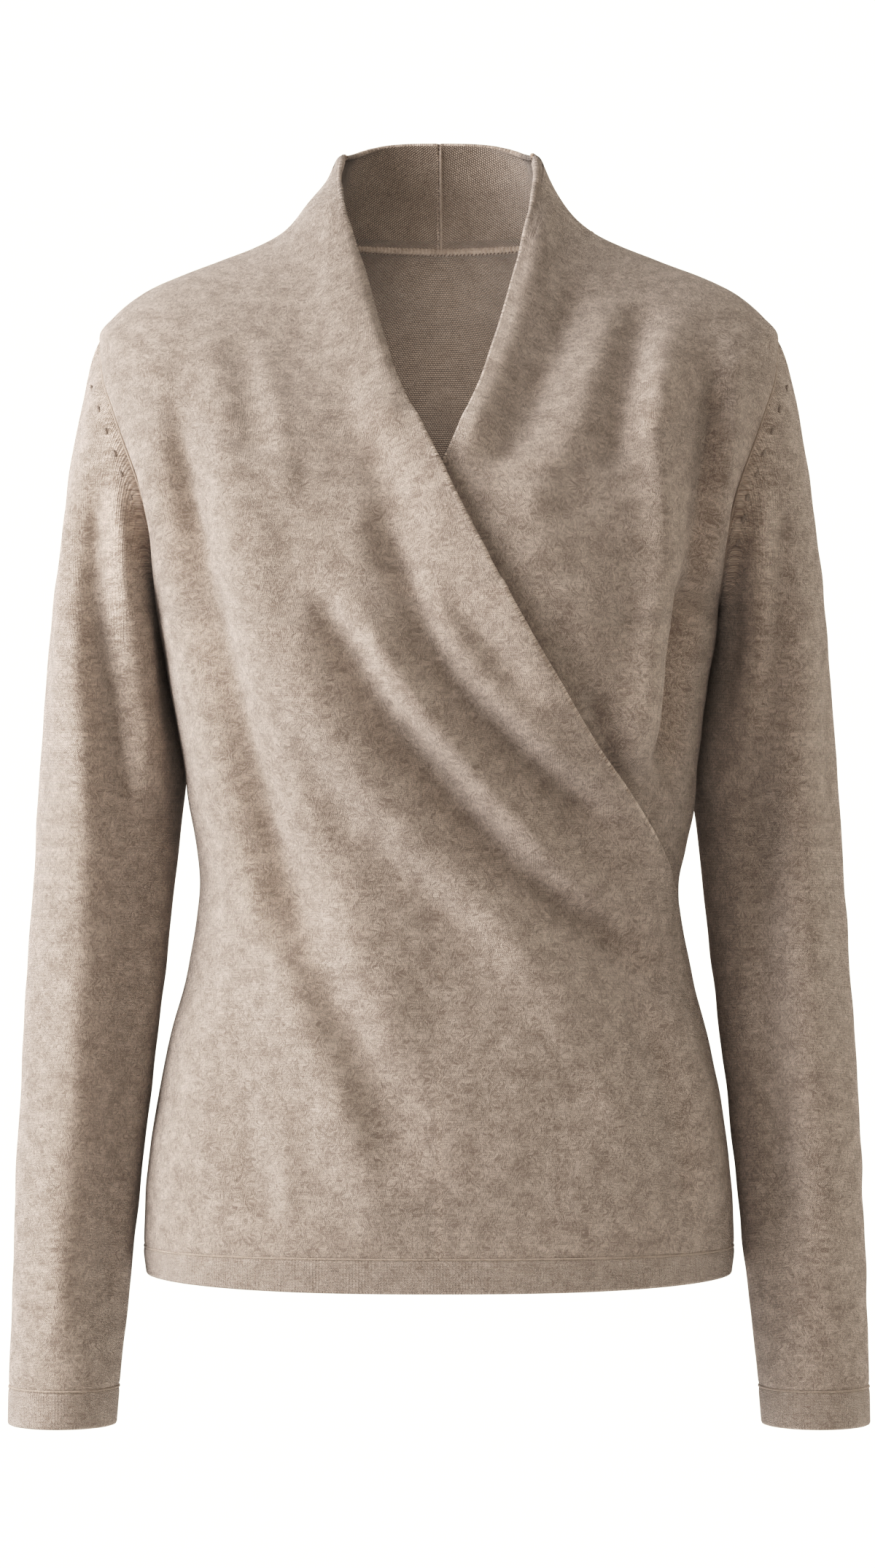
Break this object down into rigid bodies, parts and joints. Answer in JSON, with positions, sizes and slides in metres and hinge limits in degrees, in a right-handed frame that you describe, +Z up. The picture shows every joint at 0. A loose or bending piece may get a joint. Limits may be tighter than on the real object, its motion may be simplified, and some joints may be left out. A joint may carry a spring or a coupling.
{
  "type": "wrap-front sweater",
  "caption": "Fine knitted pullover with a crossed wrap front, a stand shawl collar cut in one with the fronts, set-in long sleeves, narrow hem and cuff bands; hollow worn form.",
  "frame": {"origin": "point between the wearer's shoulders, midway across, level with the inner ends of the shoulder seams", "axes": "+Z up along the body, -Y the way the wearer faces, +X the wearer's left"},
  "size_m": [0.5054, 0.2382, 0.7595],
  "materials": {
    "knit_front_right": "fine knitted cashmere, matt, soft nap, oatmeal marl",
    "knit_front_left": "fine knitted cashmere, matt, soft nap, oatmeal marl",
    "knit_back": "fine knitted cashmere, matt, soft nap, oatmeal marl",
    "knit_sleeve_right": "fine knitted cashmere, matt, soft nap, oatmeal marl",
    "knit_sleeve_left": "fine knitted cashmere, matt, soft nap, oatmeal marl",
    "knit_hem_front": "fine knitted cashmere, matt, soft nap, oatmeal marl",
    "knit_hem_back": "fine knitted cashmere, matt, soft nap, oatmeal marl",
    "knit_cuff_right": "fine knitted cashmere, matt, soft nap, oatmeal marl",
    "knit_cuff_left": "fine knitted cashmere, matt, soft nap, oatmeal marl"
  },
  "bodies": {
    "root": {"front_right": "knit_front_right", "front_left": "knit_front_left", "back": "knit_back", "sleeve_right": "knit_sleeve_right", "sleeve_left": "knit_sleeve_left", "hem_front": "knit_hem_front", "hem_back": "knit_hem_back", "cuff_right": "knit_cuff_right", "cuff_left": "knit_cuff_left"}
  },
  "joints": []
}
